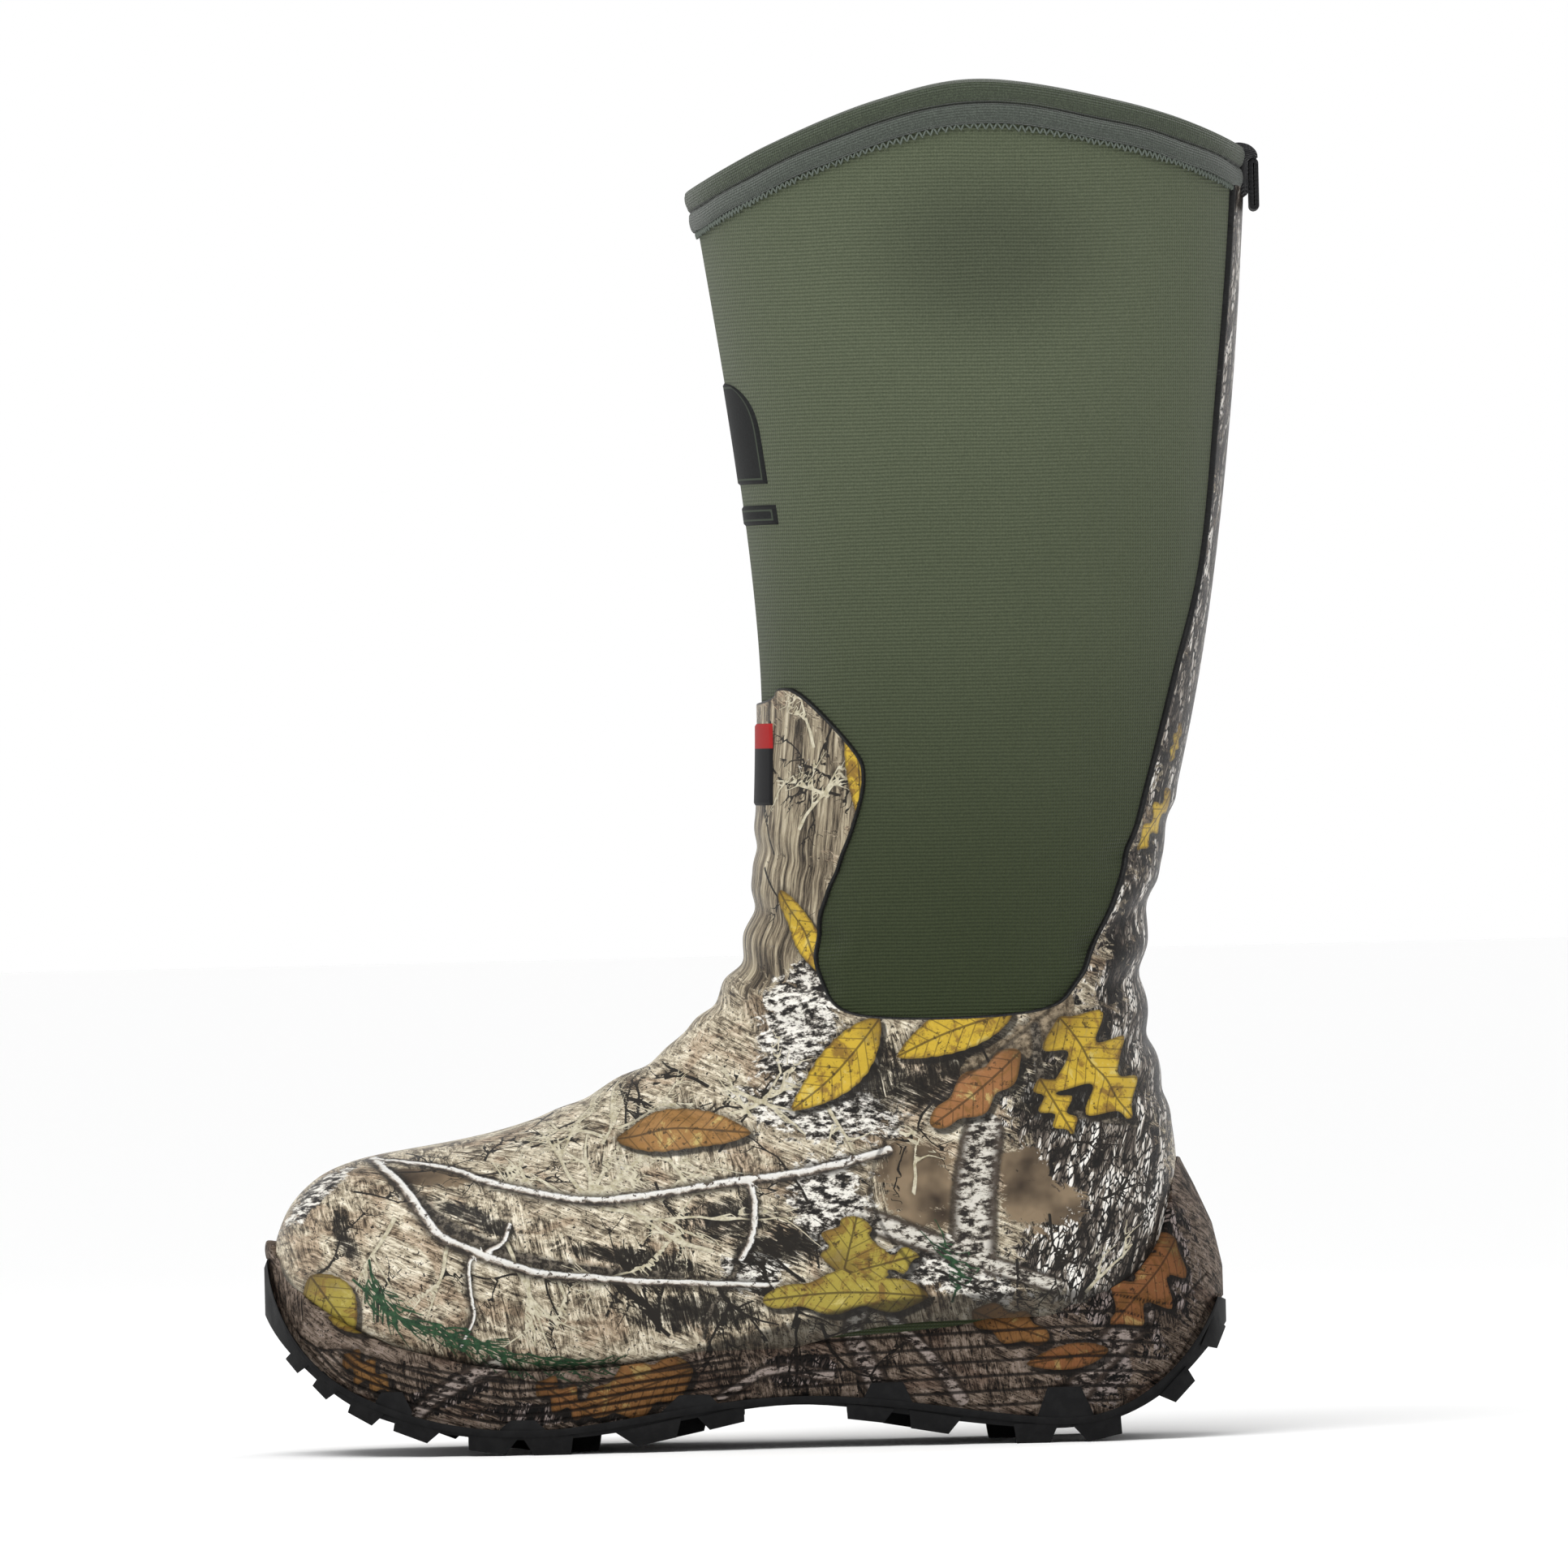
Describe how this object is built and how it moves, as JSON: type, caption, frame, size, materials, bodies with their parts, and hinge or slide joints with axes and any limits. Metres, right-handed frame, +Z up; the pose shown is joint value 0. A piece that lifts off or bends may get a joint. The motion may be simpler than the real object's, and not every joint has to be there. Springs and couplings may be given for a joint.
{
  "type": "insulated hunting boot",
  "caption": "Knee-high left boot: knit neoprene shaft with printed rubber overlays, folded collar binding, rear webbing loop, ridged midsole and lugged outsole; ankle flexes, footbed lifts.",
  "frame": {"origin": "on the ground under the centre of the boot's bounding box", "axes": "+Z up, toe towards -X, heel towards +X, lateral (outer) side towards -Y, medial side towards +Y"},
  "size_m": [0.3378, 0.1209, 0.448],
  "materials": {
    "outsole_rubber": "matt",
    "camo_midsole": "matt, printed leaves and bark",
    "core_foam": "closed-cell foam",
    "shank_steel": "plain",
    "board": "fibre board",
    "camo_rubber": "semi-gloss, printed leaves, twigs and bark",
    "stiffener": "plain",
    "neoprene": "fine horizontal knit",
    "batting": "lofted fibre",
    "lining": "soft brushed knit",
    "binding": "stretch tape",
    "thread": "zigzag stitching",
    "badge": "satin, blank",
    "label": "satin, blank",
    "footbed_foam": "moulded foam",
    "footbed_fabric": "felt",
    "gel": "soft gel",
    "webbing": "woven tape"
  },
  "bodies": {
    "foot": {"outsole": "outsole_rubber", "midsole": "camo_midsole", "midsole_core": "core_foam", "shank": "shank_steel", "insole_board": "board", "vamp_shell": "camo_rubber", "heel_patch": "camo_rubber", "toe_puff": "stiffener", "heel_counter": "stiffener", "bootie_toe": "neoprene", "bootie_heel": "neoprene", "batting_foot": "batting", "lining_foot": "lining"},
    "shaft": {"shaft_sleeve": "neoprene", "shin_guard": "camo_rubber", "spine_strip": "camo_rubber", "batting_shaft": "batting", "lining_shaft": "lining", "collar_binding": "binding", "collar_stitching": "thread", "front_badge": "badge", "shin_label": "label"},
    "footbed": {"footbed": "footbed_foam", "footbed_cover": "footbed_fabric", "heel_pad": "gel"},
    "pull_loop": {"pull_loop": "webbing"}
  },
  "joints": [
    {"name": "ankle_flex", "type": "hinge", "parent": "foot", "child": "shaft", "pos_m": [0.055, 0, 0.138], "axis": [0, -1, 0], "range_deg": [-12, 20], "stiffness_Nm_per_rad": 8},
    {"name": "footbed_lift", "type": "hinge", "parent": "foot", "child": "footbed", "pos_m": [-0.139, 0, 0.041], "axis": [0, -1, 0], "range_deg": [0, 4]},
    {"name": "loop_swing", "type": "hinge", "parent": "shaft", "child": "pull_loop", "pos_m": [0.1683, 0, 0.421], "axis": [0, -1, 0], "range_deg": [0, 75]}
  ]
}
